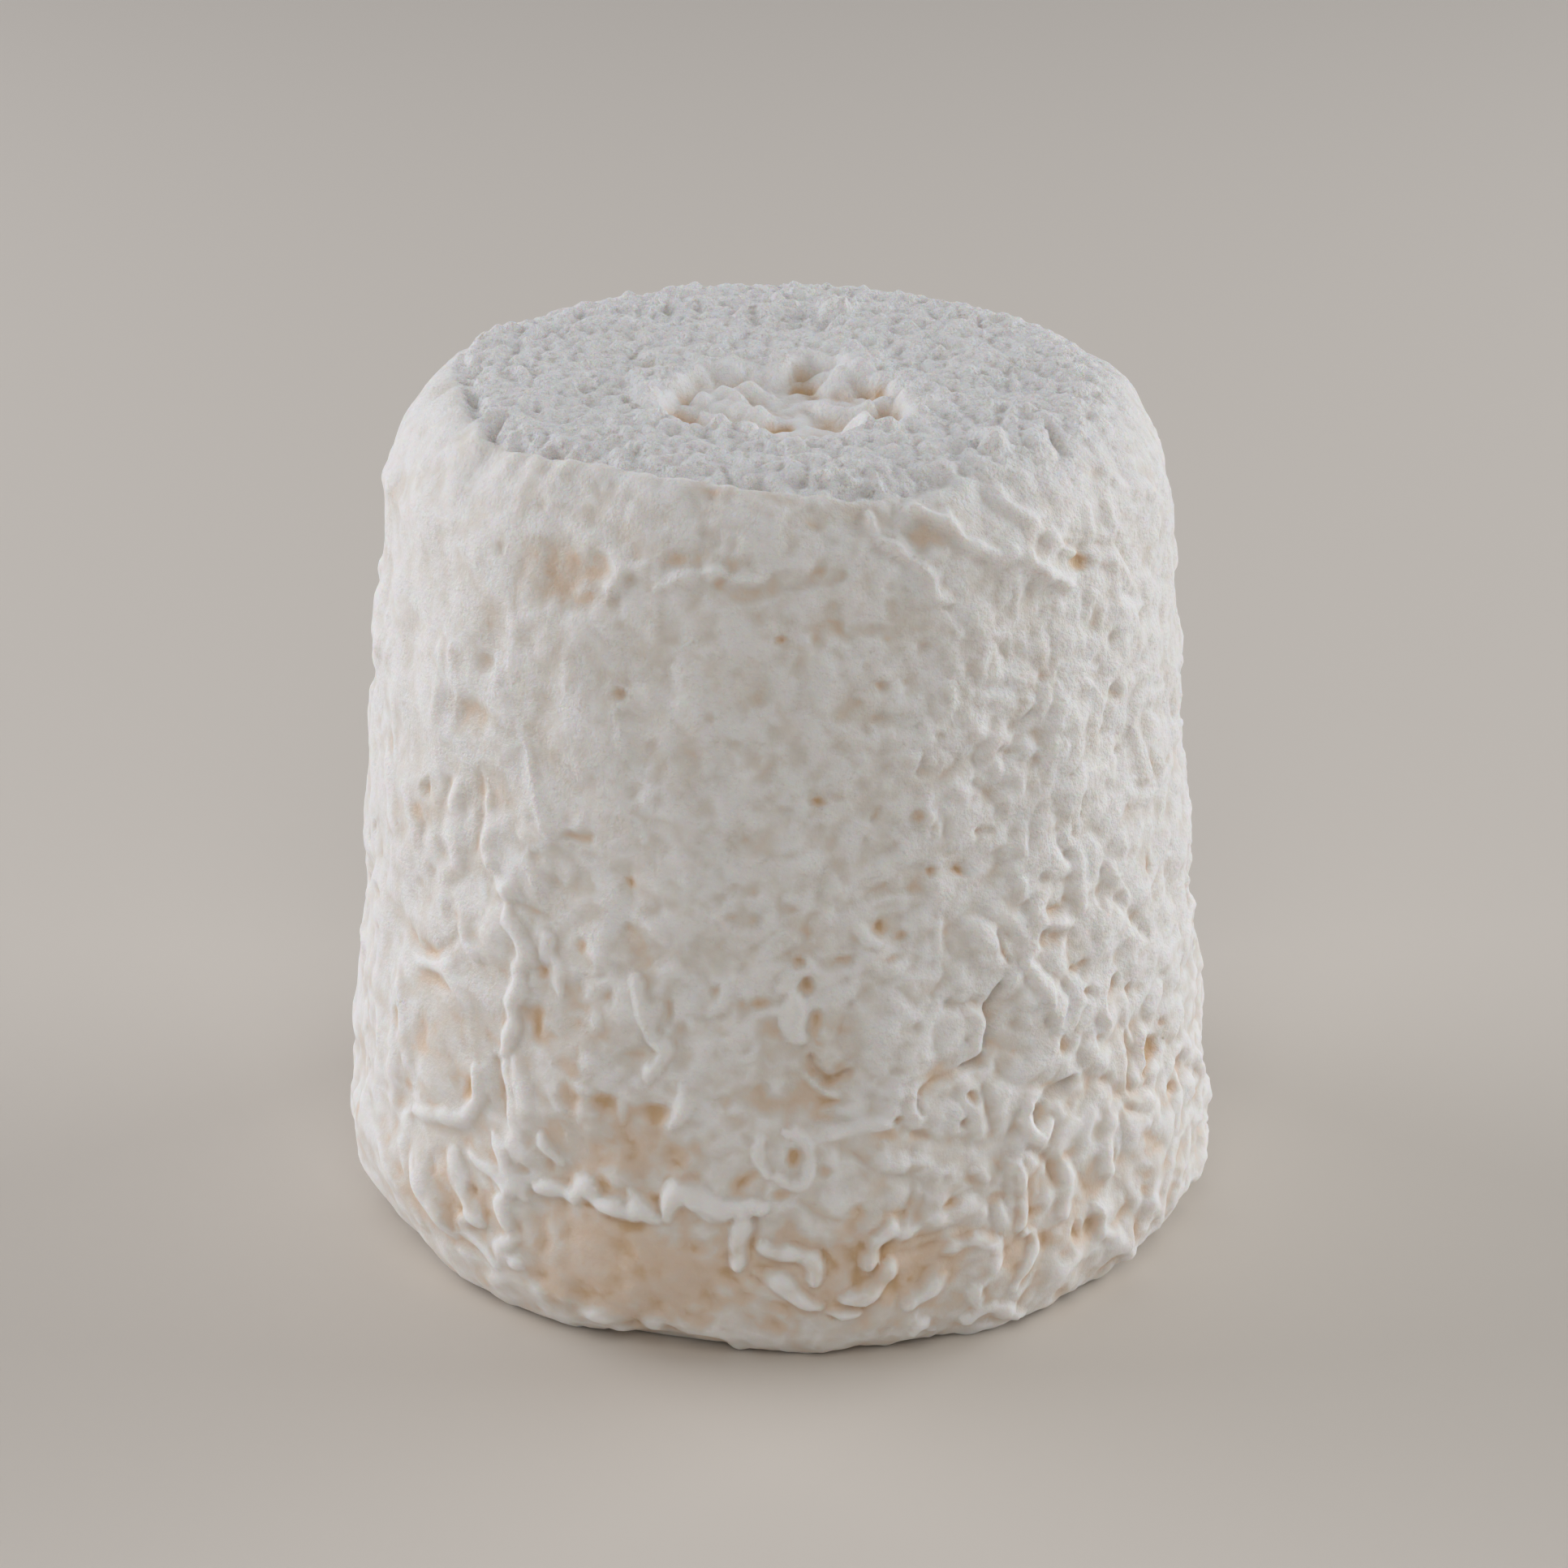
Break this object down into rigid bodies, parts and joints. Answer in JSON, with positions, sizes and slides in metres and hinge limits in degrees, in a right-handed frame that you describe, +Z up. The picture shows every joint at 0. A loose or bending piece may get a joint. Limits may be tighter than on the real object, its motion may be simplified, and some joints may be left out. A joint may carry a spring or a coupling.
{
  "type": "cheese wheel",
  "caption": "Small tapered soft-ripened goat's cheese, a drum that stands on its wide end, with a wrinkled white mould rind and a shallow torn hollow in its top.",
  "frame": {"origin": "on the surface the cheese stands on, under the middle of its outline", "axes": "+Z up along the drum, from the wide foot to the top; -Y towards the viewer, where the torn skin edge of the top shows; +X to the viewer's right"},
  "size_m": [0.0614, 0.062, 0.0604],
  "materials": {
    "rind": "matte, faintly waxy in the hollows, with a fine white mould bloom on the ridges"
  },
  "bodies": {
    "root": {"cheese_wheel": "rind"}
  },
  "joints": []
}
